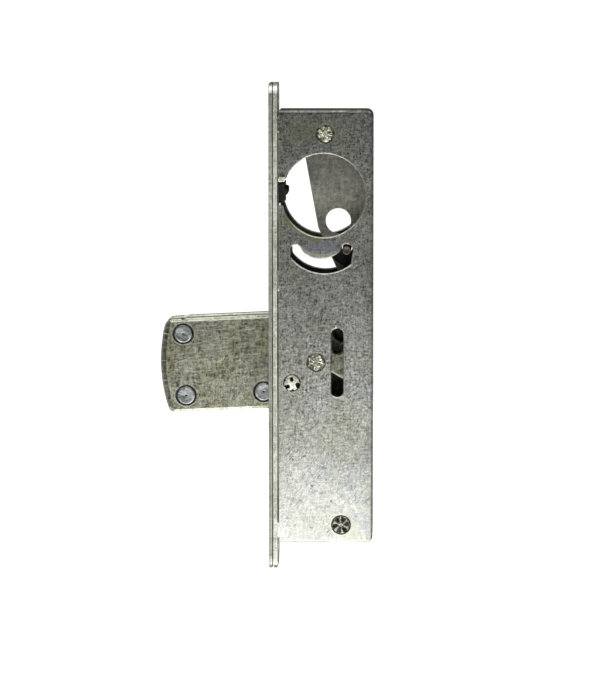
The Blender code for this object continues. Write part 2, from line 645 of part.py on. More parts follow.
def make_bolt(parts, cutters, bolt_steel, hard, steel):
    def on_bolt(point):
        return (BOLT_AXIS[0] + point[0], BOLT_AXIS[1] + point[1])

    def flat(point):
        return turned(point, -BOLT_DROOP)

    core_half = CORE_PLATE / 2
    inner = core_half + GAP
    rivet_holes = [circle(flat(p), RIVET_R + GAP, 24) for p in BOLT_RIVETS.values()]
    pivot = circle((0, 0), BOLT_HOLE_R, ROUND)
    for name, span in (("near", (-BOLT_HALF, -inner)), ("far", (inner, BOLT_HALF))):
        side = plate("bolt_plate_" + name, [side_outline(), pivot] + rivet_holes, span, parts, bolt_steel,
                     origin=BOLT_AXIS, turn=BOLT_DROOP)
        outward = -1 if name == "near" else 1
        across, down = TIP_CHAMFER
        clear = 1.0
        slope = across / down
        profile = [(BOLT_END_R - across - clear * slope, BOLT_HALF + clear),
                   (BOLT_END_R + 3, BOLT_HALF + clear), (BOLT_END_R + 3, BOLT_HALF - down),
                   (BOLT_END_R, BOLT_HALF - down)]
        profile.append(profile[0])
        middle = on_bolt(turned((BOLT_END_R - BOLT_TIP, 0), BOLT_DROOP))
        cut(side, turned_piece("tip_chamfer_" + name, profile, (middle[0], 0, middle[1]),
                               (0, outward, 0), cutters, steps=144))
        tilt = (Matrix.Translation(Vector((BOLT_AXIS[0], 0, BOLT_AXIS[1])) * MM)
                @ Matrix.Rotation(-radians(BOLT_DROOP), 4, "Y"))
        reach = 2 * clear + EDGE_CHAMFER
        for edge, limit, away in (("upper", BOLT_UP, 1), ("lower", -BOLT_DOWN, -1)):
            outer, beyond = outward * (BOLT_HALF + clear), limit + clear * away
            wedge = [(outer, beyond), (outer - outward * reach, beyond), (outer, beyond - reach * away)]
            cutter = plate(f"{edge}_chamfer_{name}", [wedge], (-BOLT_TIP - 5, BOLT_UP), cutters, None,
                           FACING_X)
            cutter.matrix_world = tilt @ cutter.matrix_world
            cut(side, cutter)
        if name == "near":
            x, high, low, r = FORK_RELIEF
            capsule = arc((x, high), r, 0, 180, 8) + arc((x, low), r, 180, 360, 12)
            cut(side, plate("fork_relief", [capsule], (-BOLT_HALF - 1, -core_half), cutters))
        soften(side, 0.5, angle=50)
    reach = INSERT_R + GAP
    near_end, far_end = INSERT_START + 0.4, INSERT_START - INSERT_LENGTH - 0.4
    pockets = [rounded_box(far_end, near_end, height - reach, height + reach, (0.4,) * 4, 2)
               for height in INSERT_HEIGHTS.values()]
    plate("bolt_core", [core_outline(), pivot] + rivet_holes + pockets,
          (-core_half, core_half), parts, bolt_steel, origin=BOLT_AXIS, turn=BOLT_DROOP)
    for name, height in INSERT_HEIGHTS.items():
        along = turned((-1, 0), BOLT_DROOP)
        place = on_bolt(turned((INSERT_START, height), BOLT_DROOP))
        profile = [(0, INSERT_LENGTH), (INSERT_R - 0.3, INSERT_LENGTH), (INSERT_R, INSERT_LENGTH - 0.3),
                   (INSERT_R, 0.3), (INSERT_R - 0.3, 0), (0, 0)]
        turned_piece("hardened_insert_" + name, profile, (place[0], 0, place[1]),
                     (along[0], 0, along[1]), parts, hard)
    top = BOLT_HALF + 0.12
    for name, point in BOLT_RIVETS.items():
        place = on_bolt(point)
        turned_piece("bolt_rivet_" + name, spool([(top, RIVET_R - 0.35), (top - 0.35, RIVET_R)]),
                     (place[0], 0, place[1]), (0, -1, 0), parts, steel)


def build():
    clear_scene()
    parts = new_collection("mortise_lock")
    cutters = new_collection("mortise_lock_cutters")
    zinc = finish_material("zinc_sheet", (0.42, 0.42, 0.38), 0.42, 1.0)
    trim = finish_material("trim_plate", (0.55, 0.56, 0.50), 0.38, 1.0)
    bolt_steel = finish_material("bolt_steel", (0.34, 0.34, 0.28), 0.45, 1.0)
    steel = finish_material("bright_steel", (0.50, 0.50, 0.48), 0.35, 1.0)
    dark = finish_material("oiled_steel", (0.16, 0.16, 0.15), 0.45, 1.0)
    hard = finish_material("hardened_steel", (0.20, 0.20, 0.22), 0.30, 1.0)
    black = finish_material("black_oxide", (0.015, 0.015, 0.015), 0.45, 0.6)
    make_front_plates(parts, cutters, zinc, trim, steel)
    make_case(parts, cutters, zinc)
    make_posts(parts, steel, dark)
    make_clamps(parts, cutters, black)
    make_lever(parts, zinc, steel)
    make_locking_pin(parts, steel, black)
    make_bolt(parts, cutters, bolt_steel, hard, steel)


build()
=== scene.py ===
"""Looks for the swinging-bolt mortise lock: metal finishes, staked and riveted ends, light and camera.

Places are millimetres in the lock's own frame: X into the door, Y across it, Z up. Sizes inside the
finishes are metres.
"""
import json
from math import cos, hypot, pi, radians, sin

import bmesh
import bpy
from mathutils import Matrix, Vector, noise


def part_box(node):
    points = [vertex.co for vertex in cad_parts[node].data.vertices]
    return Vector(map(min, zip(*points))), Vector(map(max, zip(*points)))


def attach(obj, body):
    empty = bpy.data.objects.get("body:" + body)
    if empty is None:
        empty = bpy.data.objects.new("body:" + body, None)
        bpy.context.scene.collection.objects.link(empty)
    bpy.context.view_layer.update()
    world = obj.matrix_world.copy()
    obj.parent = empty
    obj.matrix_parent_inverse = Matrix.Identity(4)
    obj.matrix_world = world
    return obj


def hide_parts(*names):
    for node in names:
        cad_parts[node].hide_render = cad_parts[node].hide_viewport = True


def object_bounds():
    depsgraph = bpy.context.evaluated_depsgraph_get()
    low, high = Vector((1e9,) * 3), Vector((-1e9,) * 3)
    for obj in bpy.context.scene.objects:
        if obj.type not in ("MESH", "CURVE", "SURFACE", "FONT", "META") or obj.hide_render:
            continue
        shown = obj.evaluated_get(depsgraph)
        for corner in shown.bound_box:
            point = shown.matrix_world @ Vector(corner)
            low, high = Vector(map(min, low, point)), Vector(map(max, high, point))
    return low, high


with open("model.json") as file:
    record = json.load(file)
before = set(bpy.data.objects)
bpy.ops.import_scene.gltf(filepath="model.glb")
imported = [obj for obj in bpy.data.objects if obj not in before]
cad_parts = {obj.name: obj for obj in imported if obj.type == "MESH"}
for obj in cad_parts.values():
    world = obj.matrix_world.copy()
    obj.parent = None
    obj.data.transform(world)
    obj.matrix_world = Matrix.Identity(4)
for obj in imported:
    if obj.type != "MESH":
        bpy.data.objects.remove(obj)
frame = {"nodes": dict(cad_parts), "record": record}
CAD_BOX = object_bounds()

MM = 0.001
NODES = frame["nodes"]


def body_of(node):
    return next(b for b, members in frame["record"]["behaviour"]["bodies"].items() if node in members)


def slot_of(node):
    return next(s["material_slot"] for s in frame["record"]["subparts"] if s["node"] == node)


# ============================================================================================
# camera
# ============================================================================================
CAMERA_DISTANCE = 1.2
CAMERA_AZIMUTH, CAMERA_ELEVATION = 1.5, 5.7
VIEW_HEIGHT = 0.2421           # height of what the frame shows at the side wall
SENSOR_HEIGHT = 24.0
LOOK_AT = Vector((13.6, -12.7, -51.25)) * MM


def make_camera():
    data = bpy.data.cameras.new("camera")
    camera = bpy.data.objects.new("camera", data)
    bpy.context.scene.collection.objects.link(camera)
    az, el = radians(CAMERA_AZIMUTH), radians(CAMERA_ELEVATION)
    away = Vector((sin(az) * cos(el), -cos(az) * cos(el), sin(el)))
    camera.location = LOOK_AT + away * CAMERA_DISTANCE
    camera.rotation_euler = (-away).to_track_quat("-Z", "Y").to_euler()
    data.sensor_fit = "VERTICAL"
    data.sensor_height = SENSOR_HEIGHT
    data.lens = SENSOR_HEIGHT * CAMERA_DISTANCE / VIEW_HEIGHT
    data.clip_start, data.clip_end = 0.05, 50.0
    bpy.context.scene.camera = camera


# ============================================================================================
# node recipes
# ============================================================================================
class Recipe:
    """A material's node tree, with short calls for the nodes that the finishes use."""

    def __init__(self, name):
        self.material = bpy.data.materials.new(name)
        self.material.use_nodes = True
        self.tree = self.material.node_tree
        self.shader = self.tree.nodes["Principled BSDF"]
        self.place = self.add("ShaderNodeTexCoord").outputs["Object"]
        split = self.add("ShaderNodeSeparateXYZ")
        self.feed(split.inputs[0], self.place)
        self.axes = split.outputs

    def add(self, kind, **settings):
        node = self.tree.nodes.new(kind)
        for key, value in settings.items():
            setattr(node, key, value)
        return node

    def feed(self, socket, value):
        if isinstance(value, bpy.types.NodeSocket):
            self.tree.links.new(value, socket)
        else:
            socket.default_value = value

    def math(self, operation, a, b=0.0, clamp=False):
        node = self.add("ShaderNodeMath", operation=operation, use_clamp=clamp)
        self.feed(node.inputs[0], a)
        self.feed(node.inputs[1], b)
        return node.outputs[0]

    def product(self, a, b):
        return self.math("MULTIPLY", a, b)

    def swing(self, value, middle, amount):
        """How far a value is from its middle, times an amount."""
        return self.product(self.math("SUBTRACT", value, middle), amount)

    def vector(self, operation, a, b=(0, 0, 0), out="Vector"):
        node = self.add("ShaderNodeVectorMath", operation=operation)
        self.feed(node.inputs[0], a)
        self.feed(node.inputs[1], b)
        return node.outputs[out]

    def scaled(self, value, gain):
        node = self.add("ShaderNodeVectorMath", operation="SCALE")
        self.feed(node.inputs[0], value)
        self.feed(node.inputs["Scale"], gain)
        return node.outputs[0]

    def flat(self):
        """Object coordinates without Y, so that both side walls look the same."""
        return self.vector("MULTIPLY", self.place, (1, 0, 1))

    def mapped(self, scale=(1, 1, 1), turn=0.0, shift=(0, 0, 0)):
        """Object coordinates turned about Y and stretched, for grain that has a direction."""
        node = self.add("ShaderNodeMapping")
        self.feed(node.inputs["Vector"], self.place)
        node.inputs["Rotation"].default_value = (0, radians(turn), 0)
        node.inputs["Location"].default_value = shift
        return self.vector("MULTIPLY", node.outputs[0], scale)

    def noise(self, scale, detail=2.0, roughness=0.5, at=None):
        node = self.add("ShaderNodeTexNoise")
        self.feed(node.inputs["Vector"], self.place if at is None else at)
        node.inputs["Scale"].default_value = scale
        node.inputs["Detail"].default_value = detail
        node.inputs["Roughness"].default_value = roughness
        return node.outputs["Fac"]

    def cells(self, scale):
        node = self.add("ShaderNodeTexVoronoi", feature="F1")
        self.feed(node.inputs["Vector"], self.place)
        node.inputs["Scale"].default_value = scale
        return node.outputs["Distance"]

    def band(self, value, low, high, out_low=0.0, out_high=1.0):
        node = self.add("ShaderNodeMapRange", interpolation_type="SMOOTHSTEP")
        self.feed(node.inputs["Value"], value)
        ends = (("From Min", low), ("From Max", high), ("To Min", out_low), ("To Max", out_high))
        for key, number in ends:
            node.inputs[key].default_value = number
        return node.outputs[0]

    def blend(self, amount, a, b):
        node = self.add("ShaderNodeMix", data_type="RGBA", blend_type="MIX")
        self.feed(node.inputs[0], amount)
        self.feed(node.inputs[6], a if isinstance(a, bpy.types.NodeSocket) else (*a, 1.0))
        self.feed(node.inputs[7], b if isinstance(b, bpy.types.NodeSocket) else (*b, 1.0))
        return node.outputs[2]

    def scratches(self, turn, length, width, low, seed):
        """Short fine lines along one direction of the side walls; length and width in metres."""
        at = self.mapped((1 / length, 1 / length, 1 / width), turn, (seed * 0.013, 0, seed * 0.029))
        lines = self.band(self.noise(1.0, 1.0, 0.4, at), low, low + 0.05)
        patches = self.band(self.noise(55.0 + 9 * seed, 1.0), 0.5, 0.62)
        return self.product(lines, patches)

    def mark(self, start, end, width):
        """One soft-edged stroke between two (x, z) points."""
        a = Vector((start[0], 0, start[1])) * MM
        along = Vector((end[0], 0, end[1])) * MM - a
        offset = self.vector("SUBTRACT", self.flat(), tuple(a))
        share = self.math("DIVIDE", self.vector("DOT_PRODUCT", offset, tuple(along), "Value"),
                          along.length_squared, clamp=True)
        gap = self.vector("DISTANCE", offset, self.scaled(tuple(along), share), "Value")
        return self.band(gap, width * MM, width * MM * 0.3)

    def edges(self, radius):
        """1 along edges and 0 on flats."""
        rounded = self.add("ShaderNodeBevel", samples=4)
        rounded.inputs["Radius"].default_value = radius
        true = self.add("ShaderNodeNewGeometry").outputs["True Normal"]
        facing = self.vector("DOT_PRODUCT", rounded.outputs[0], true, "Value")
        return self.band(facing, 0.995, 0.9)

    def bump(self, height, distance, strength):
        node = self.add("ShaderNodeBump")
        self.feed(node.inputs["Height"], height)
        node.inputs["Distance"].default_value = distance
        node.inputs["Strength"].default_value = strength
        return node.outputs[0]

    def finish(self, colour, roughness, metallic, normal=None):
        self.feed(self.shader.inputs["Base Color"], colour)
        self.feed(self.shader.inputs["Roughness"], roughness)
        self.shader.inputs["Metallic"].default_value = metallic
        if normal is not None:
            self.feed(self.shader.inputs["Normal"], normal)
        return self.material


def dimmed(colour, gain):
    return tuple(c * gain for c in colour)


# ============================================================================================
# plated sheet
# ============================================================================================
# colour of the brightened edges: partly wear, partly a painted highlight
EDGE_WEAR_AND_HIGHLIGHT = (0.92, 0.92, 0.84)
SCRATCH_COLOUR = (0.85, 0.85, 0.78)
MARK_COLOUR = (0.95, 0.95, 0.88)
# fine scratches as (direction in degrees, length, width, threshold, seed); the last one is dark
HAIR_SCRATCHES = ((4, 0.0030, 0.00018, 0.60, 1), (86, 0.0026, 0.00018, 0.60, 2),
                  (-35, 0.0036, 0.00016, 0.62, 3), (50, 0.0024, 0.00020, 0.60, 4))
BRUSHED_DIRECTIONS = (3, 88)
BRUSHED_LENGTH = 4.5           # of a brushed fleck, in grains
DARKEST_SPECKLE = 0.25
INNER_FACE = 0.01125           # just outside the side walls' inner faces
# the first two gains are painted shade: on the case's inner faces and on its outer edges
INTERIOR_SHADE_GAIN, OUTLINE_SHADE_GAIN, PIN_HOLE_GAIN, DARK_SCRATCH_GAIN = 0.35, 0.42, 0.25, 0.4


def speckled(r, grain, contrast, calm):
    """Fine and medium noise, and a gain round 1 made of them and of brushed flecks.

    calm is (z where it is full, z where it ends, share): the speckle fades to that share of itself.
    """
    fine = r.noise(1 / grain, 2.0, 0.75)
    medium = r.noise(0.45 / grain, 2.0, 0.6, r.mapped(shift=(0.21, 0.13, 0.37)))
    length = grain * BRUSHED_LENGTH
    brushed = [r.noise(1.0, 2.0, 0.6, r.mapped((1 / length, 1 / length, 1 / grain), turn, (0.11, 0, 0.05)))
               for turn in BRUSHED_DIRECTIONS]
    streak = r.math("ADD", *brushed)
    mottle = r.math("ADD", r.swing(fine, 0.5, 1.7 * contrast), r.swing(medium, 0.5, 0.8 * contrast))
    mottle = r.math("ADD", mottle, r.swing(streak, 1.0, 1.1 * contrast))
    if calm:
        full, end, share = calm
        mottle = r.product(mottle, r.band(r.axes["Z"], full * MM, end * MM, share, 1.0))
    return fine, medium, r.math("MAXIMUM", r.math("ADD", 1.0, mottle), DARKEST_SPECKLE)


def scratched(r, base, dark, scratches, marks):
    hair = [r.scratches(*line) for line in HAIR_SCRATCHES]
    bright = r.math("MAXIMUM", r.math("MAXIMUM", hair[0], hair[1]), hair[2])
    base = r.blend(r.product(bright, scratches), base, SCRATCH_COLOUR)
    base = r.blend(r.product(hair[3], scratches * 1.3), base, dimmed(dark, DARK_SCRATCH_GAIN))
    for stroke in marks:
        base = r.blend(r.product(r.mark(*stroke), 0.8), base, MARK_COLOUR)
    return base


def shaded_outline(r, base, dark, edge_mask, outline):
    """Painted shade on the inner faces within the outline (back x, top z, bottom z), and on the edges
    outside it.

    Gives the colour, and what is left of the edge mask inside the outline.
    """
    back, top, bottom = (value * MM for value in outline)
    inside = r.product(r.band(r.axes["X"], back - MM, back, 1.0, 0.0),
                       r.product(r.band(r.axes["Z"], top - MM, top, 1.0, 0.0),
                                 r.band(r.axes["Z"], bottom, bottom + MM)))
    within = r.band(r.math("ABSOLUTE", r.axes["Y"]), INNER_FACE, INNER_FACE + 0.0001, 1.0, 0.0)
    # painted shade on the case's inner faces within the outline
    base = r.scaled(base, r.band(r.product(inside, within), 0.0, 1.0, 1.0, INTERIOR_SHADE_GAIN))
    # painted shade on the edges outside the outline
    outline_shade = r.product(edge_mask, r.math("SUBTRACT", 1.0, inside))
    base = r.blend(r.product(outline_shade, 0.7), base, dimmed(dark, OUTLINE_SHADE_GAIN))
    return base, r.product(edge_mask, inside)


def plated_sheet(name, dark, light, grain, contrast, rough, edge, scratches=0.35, edge_width=0.0005, marks=(),
                 pin_holes=0.0, stains=(), shades=(), tints=(), calm=None, outline=None, tip=None):
    """Plated or passivated steel: mottled and speckled, finely scratched, brighter along edges, partly
    from wear and partly as a painted highlight.

    grain is the speckle's size and edge_width the width of the brightened edges. edge, scratches and
    pin_holes are how strongly each shows. marks are single scratches as (start, end, width). stains are
    (colour, scale, threshold, amount, seed). shades are painted light and shade as (axis, low, high, gain
    below, gain above). tints are soft patches of colour, painted shade and painted highlight as (start,
    end, width, colour, amount). tip is (centre, inner and outer distance, gain): painted shade darkens the
    sheet beyond the outer distance.
    """
    r = Recipe(name)
    fine, medium, speckle = speckled(r, grain, contrast, calm)
    base = r.blend(r.band(r.noise(45.0, 3.0, 0.5), 0.36, 0.64), dark, light)
    for colour, scale, low, amount, seed in stains:
        patch = r.noise(scale, 2.0, 0.55, r.mapped(shift=(seed * 0.17, 0.3, seed * 0.41)))
        base = r.blend(r.band(patch, low, low + 0.12, 0.0, amount), base, colour)
    base = r.scaled(base, speckle)
    # painted light and shade: gains along bands of one axis
    for axis, low, high, gain_low, gain_high in shades:
        base = r.scaled(base, r.band(r.axes[axis], low * MM, high * MM, gain_low, gain_high))
    # painted shade beyond the tip's outer distance
    if tip:
        (x, z), inner, outer, gain = tip
        reach = r.vector("DISTANCE", r.flat(), (x * MM, 0, z * MM), "Value")
        base = r.scaled(base, r.band(reach, inner * MM, outer * MM, 1.0, gain))
    # soft patches: colour, painted shade and painted highlight
    for start, end, width, tint, amount in tints:
        base = r.blend(r.product(r.mark(start, end, width), amount), base, tint)
    base = scratched(r, base, dark, scratches, marks)
    if pin_holes:
        holes = r.product(r.band(r.cells(210.0), 0.12, 0.07), r.band(r.noise(60.0), 0.5, 0.56))
        base = r.blend(r.product(holes, pin_holes), base, dimmed(dark, PIN_HOLE_GAIN))
    # edges brightened, partly by wear and partly as a painted highlight
    edge_mask = r.edges(edge_width)
    if outline:
        base, edge_mask = shaded_outline(r, base, dark, edge_mask, outline)
    base = r.blend(r.product(edge_mask, edge), base, EDGE_WEAR_AND_HIGHLIGHT)
    shine = r.math("ADD", rough, r.swing(fine, 0.5, 0.3), clamp=True)
    relief = r.math("ADD", fine, r.product(medium, 0.8))
    return r.finish(base, shine, 0.95, r.bump(relief, 0.00005, 0.45))


WALL_MARKS = (((3.7, -40.5), (8.0, -40.4), 0.14), ((11.5, -88.0), (16.0, -96.5), 0.07),
              ((27.5, 29.0), (33.0, 27.2), 0.07), ((8.6, -100.2), (13.5, -106.0), 0.07),
              ((24.0, 24.3), (29.5, 26.3), 0.08), ((30.5, -45.2), (33.4, -42.9), 0.12),
              ((26.5, 10.4), (28.6, 11.6), 0.12))
WALL_STAINS = (((0.52, 0.54, 0.42), 60.0, 0.52, 0.35, 1), ((0.46, 0.47, 0.54), 75.0, 0.54, 0.35, 2))
OLIVE_SHADOW, OLIVE, OLIVE_DARK = (0.12, 0.14, 0.04), (0.44, 0.46, 0.30), (0.38, 0.41, 0.20)
VIOLET, STRAW, SLOT_EDGE_HIGHLIGHT = (0.44, 0.45, 0.60), (0.60, 0.62, 0.46), (0.92, 0.94, 0.80)
WALL_TINTS = (
    ((4.2, 6.4), (6.4, 6.2), 2.4, OLIVE_SHADOW, 0.9),          # over the clamp's gap
    ((10.0, 22.5), (21.0, 22.0), 6.0, OLIVE, 0.5),             # beside the lever post
    ((6.5, -8.0), (17.5, -15.8), 2.4, OLIVE_DARK, 0.7),        # under the cylinder hole
    ((15.0, -18.6), (23.0, -18.2), 2.6, VIOLET, 0.5),          # over the curved slot
    ((26.0, -118.6), (28.0, -120.5), 7.0, STRAW, 0.5),         # round the lower post
    ((11.2, -18.8), (14.0, -20.9), 1.3, SLOT_EDGE_HIGHLIGHT, 0.7),        # painted highlight along the upper edge of the curved slot
    ((14.0, -20.9), (18.0, -21.7), 1.3, SLOT_EDGE_HIGHLIGHT, 0.7),
    ((18.0, -21.7), (23.0, -21.1), 1.3, SLOT_EDGE_HIGHLIGHT, 0.7))
WALL_SHADES = (("X", 33.0, 37.0, 1.0, 0.86),                   # painted shade on the back edge
               ("Z", 28.6, 29.6, 1.0, 0.42),                   # painted shade on the top edge
               ("Z", -124.5, -123.7, 0.5, 1.0),                # painted shade on the bottom edge
               ("Z", -85.0, -25.0, 1.0, 0.83))                 # painted shade over the upper half
# painted highlights and painted shade on the plates' ends
PLATE_SHADES = (("Z", -133.4, -132.6, 0.10, 1.0),              # painted shade on the lower tip
                ("Z", -132.2, -131.0, 1.3, 1.0),               # painted highlight on the corner above it
                # painted shade lower down on the plates
                ("Z", -129.0, -70.0, 0.74, 1.0),
                ("Z", 36.0, 37.2, 1.0, 1.8),                   # painted highlight on the corner under the upper tip
                ("Z", 38.2, 39.2, 1.0, 0.30))                  # painted shade on the upper tip
# painted light: the faceplate darker lower down and brighter higher up, the mounting plate brighter higher
# up
FRONT_SHADES = PLATE_SHADES + (("Z", -40.0, -15.0, 0.78, 1.35),)
BACK_SHADES = PLATE_SHADES + (("Z", -30.0, 0.0, 1.0, 1.25),)
# painted light on the lever: lighter lower down, painted shade towards its top
LEVER_SHADES = (("Z", -6.0, 12.0, 1.15, 0.72),)
BOLT_MARKS = (((-33.6, -60.6), (-27.5, -58.3), 0.13), ((-19.6, -52.2), (-14.0, -52.4), 0.08),
              ((-8.5, -48.4), (-5.6, -48.2), 0.16), ((-8.0, -57.3), (-3.0, -57.1), 0.1))
BOLT_STAINS = (((0.34, 0.34, 0.20), 85.0, 0.50, 0.5, 3), ((0.38, 0.35, 0.27), 70.0, 0.58, 0.3, 4))
BOLT_AXIS = (17.0, -59.6)
BOLT_TIP_SHADE = (BOLT_AXIS, 53.6, 54.0, 0.50)                  # painted shade on the chamfer along the bolt's end


# ============================================================================================
# turned and hammered metal
# ============================================================================================
def worked_metal(name, colour, rough, mottling, metallic=1.0, stain=None):
    """Small turned or pressed parts: even metal with fine tool marks and some stain."""
    r = Recipe(name)
    fine = r.noise(900.0, 3.0, 0.6)
    shade = r.math("ADD", 1.0, r.swing(fine, 0.5, mottling * 2))
    stained = r.blend(r.band(r.noise(260.0), 0.4, 0.7), colour, stain or dimmed(colour, 0.7))
    base = r.scaled(stained, shade)
    # edges brightened, partly by wear and partly as a painted highlight
    bright = tuple(min(1.0, c * 1.8 + 0.08) for c in colour)
    base = r.blend(r.product(r.edges(0.0003), 0.35), base, bright)
    shine = r.math("ADD", rough, r.swing(fine, 0.5, 0.3), clamp=True)
    return r.finish(base, shine, metallic, r.bump(fine, 0.00003, 0.5))


def pitted_metal(name, colour, rough, height, depth, pit_shade=0.04):
    """Hammered ends: bright on top, with painted shade deeper in the pits.

    height is how far the ends stand from the middle of the lock, depth is where the painted shade is full,
    and pit_shade is how much of the colour is left there.
    """
    r = Recipe(name)
    reach = r.math("ABSOLUTE", r.axes["Y"])
    # painted shade: darker with depth below the end's face
    shade_by_depth = r.band(reach, height - depth, height - depth * 0.15, pit_shade, 1.0)
    fine = r.noise(2400.0, 2.0, 0.6)
    base = r.blend(r.band(r.noise(700.0), 0.42, 0.62), colour, dimmed(colour, 0.55))
    base = r.scaled(base, r.product(shade_by_depth, r.math("ADD", 0.6, r.product(fine, 0.8))))
    shine = r.math("ADD", rough - 0.1, r.product(fine, 0.25), clamp=True)
    return r.finish(base, shine, 1.0, r.bump(fine, 0.00003, 0.5))


def make_finishes():
    """Finishes of the CAD nodes that stay in view, by the record's material slots."""
    return {
        "zinc_case": plated_sheet(
            "zinc_case", (0.50, 0.51, 0.45), (0.62, 0.63, 0.60), 0.0007, 1.55, 0.32, edge=0.9,
            scratches=0.65, marks=WALL_MARKS, pin_holes=0.8, stains=WALL_STAINS, shades=WALL_SHADES,
            tints=WALL_TINTS, calm=(-125, -60, 0.45), outline=(35.6, 28.6, -122.9)),
        "mounting_plate": plated_sheet(
            "mounting_plate", (0.58, 0.60, 0.51), (0.78, 0.80, 0.70), 0.0008, 0.85, 0.55, edge=0.6,
            shades=BACK_SHADES),
        "faceplate": plated_sheet(
            "faceplate", (0.40, 0.41, 0.36), (0.56, 0.57, 0.50), 0.0008, 0.85, 0.50, edge=0.6,
            shades=FRONT_SHADES),
        "lever_steel": plated_sheet(
            "lever_steel", (0.40, 0.40, 0.34), (0.50, 0.50, 0.43), 0.0009, 0.80, 0.50, edge=0.3,
            scratches=0.12, shades=LEVER_SHADES),
        "bolt_steel": plated_sheet(
            "bolt_steel", (0.31, 0.31, 0.235), (0.41, 0.41, 0.32), 0.0007, 1.6, 0.36, edge=0.9,
            scratches=0.6, edge_width=0.0008, marks=BOLT_MARKS, pin_holes=0.4, stains=BOLT_STAINS,
            tip=BOLT_TIP_SHADE),
        "hardened_steel": worked_metal("hardened_steel", (0.18, 0.18, 0.20), 0.28, 0.15),
        "oiled_steel": worked_metal("oiled_steel", (0.24, 0.22, 0.19), 0.36, 0.25),
        "spring_wire": worked_metal("spring_wire", (0.46, 0.42, 0.34), 0.30, 0.15),
        "black_oxide": worked_metal("black_oxide", (0.010, 0.010, 0.010), 0.5, 0.3, 0.1,
                                    (0.005, 0.005, 0.005)),
    }


# ============================================================================================
# staked and riveted ends
# ============================================================================================
END_RINGS, END_SIDES = 26, 104
HAMMER_NOISE = ((0.30, 0.01), (0.70, 0.02))    # lump size in millimetres, and a place in the noise
STAR_POINTS, LUMP_COUNT = 6, 5
# the guide rivet's punch marks as (direction in degrees, share of the radius, size)
GUIDE_PITS = ((92, 0.40, 0.26), (94, 0.60, 0.20), (-14, 0.72, 0.30), (-30, 0.84, 0.24),
              (-84, 0.95, 0.20), (-138, 0.66, 0.28), (-146, 0.86, 0.24), (160, 0.97, 0.16))
GUIDE_PIT_DEPTH = 0.8


def wedge(angle, count, phase, width):
    """1 in the middle of each of count equal directions, falling to 0 at width of the way."""
    turn = (angle / (2 * pi) * count + phase) % 1.0
    return max(0.0, 1 - abs(turn - 0.5) * 2 / width)


def rise(value, low, high):
    """0 up to low and 1 from high on, with an even curve between."""
    t = max(0.0, min(1.0, (value - low) / (high - low)))
    return t * t * (3 - 2 * t)


def fall(value, low, high):
    """1 up to low and 0 from high on, with an even curve between."""
    return rise(-value, -high, -low)


# Each *_drop gives an end's depth in millimetres at a share of the radius and an angle.
def star_drop(share, angle):
    """Staked with a six-pointed punch: spokes between the punched pits, round a low centre disc,
    inside a pushed-down rim."""
    spokes = wedge(angle, STAR_POINTS, 0.35, 0.80)
    pit = 0.55 * rise(spokes, 0.05, 0.50) * rise(share, 0.32, 0.46) * fall(share, 0.80, 0.96)
    moat = 0.26 * rise(share, 0.20, 0.27) * fall(share, 0.31, 0.40)
    centre = 0.10 + 0.15 * fall(share, 0.02, 0.10)
    rim = 0.30 * rise(share, 0.80, 0.96) + 0.35 * rise(share, 0.95, 1.0)
    return pit + moat + centre * fall(share, 0.24, 0.30) + rim


def hammered_drop(share, angle):
    """Spread with a blunt punch: a ragged star of lumps over most of the face."""
    lumps = 0.22 * rise(wedge(angle + 0.4 * sin(angle * 2), LUMP_COUNT, 0.1, 0.75), 0.05, 0.6)
    centre = 0.12 * fall(share, 0.1, 0.22)
    return lumps * rise(share, 0.15, 0.5) + centre + 0.42 * rise(share, 0.76, 0.94)


def dimple_drop(share, angle):
    """A flush rivet: a shallow dish with a centre dimple, a raised lip and a rolled rim."""
    dish = 0.12 * fall(share, 0.10, 0.86)
    dimple = 0.30 * fall(share, 0.04, 0.17)
    tool = 0.05 * wedge(angle, 3, 0.1, 0.9) * rise(share, 0.2, 0.6) * fall(share, 0.7, 0.9)
    return dish + dimple + tool + 0.10 * rise(share, 0.80, 0.90) + 0.40 * rise(share, 0.90, 1.0)


def punched_drop(share, angle):
    """The guide rivet: domed, with deep punch marks."""
    depth = 0.30 * share ** 2 + 0.25 * rise(share, 0.9, 1.0)
    for turn, place, size in GUIDE_PITS:
        gap = hypot(share * cos(angle) - place * cos(radians(turn)),
                    share * sin(angle) - place * sin(radians(turn)))
        depth += GUIDE_PIT_DEPTH * fall(gap, size * 0.6, size)
    return depth


def end_rings(mesh, centre, end, side, radius, drop, rough):
    """Middle point and rings of vertices of one shaped end, which faces side along Y."""
    pole = mesh.verts.new((centre.x, end - side * drop(0, 0) * MM, centre.z))
    rings = []
    for i in range(1, END_RINGS + 1):
        share = i / END_RINGS
        ring = []
        for k in range(END_SIDES):
            angle = 2 * pi * k / END_SIDES
            x = centre.x + radius * share * cos(angle)
            z = centre.z + radius * share * sin(angle)
            uneven = sum(noise.noise(Vector((x, side * place, z)) / (size * MM))
                         for size, place in HAMMER_NOISE)
            sunk = drop(share, angle) + rough * max(0.0, 0.6 + uneven) * fall(share, 0.9, 1.0)
            ring.append(mesh.verts.new((x, end - side * sunk * MM, z)))
        rings.append(ring)
    return pole, rings


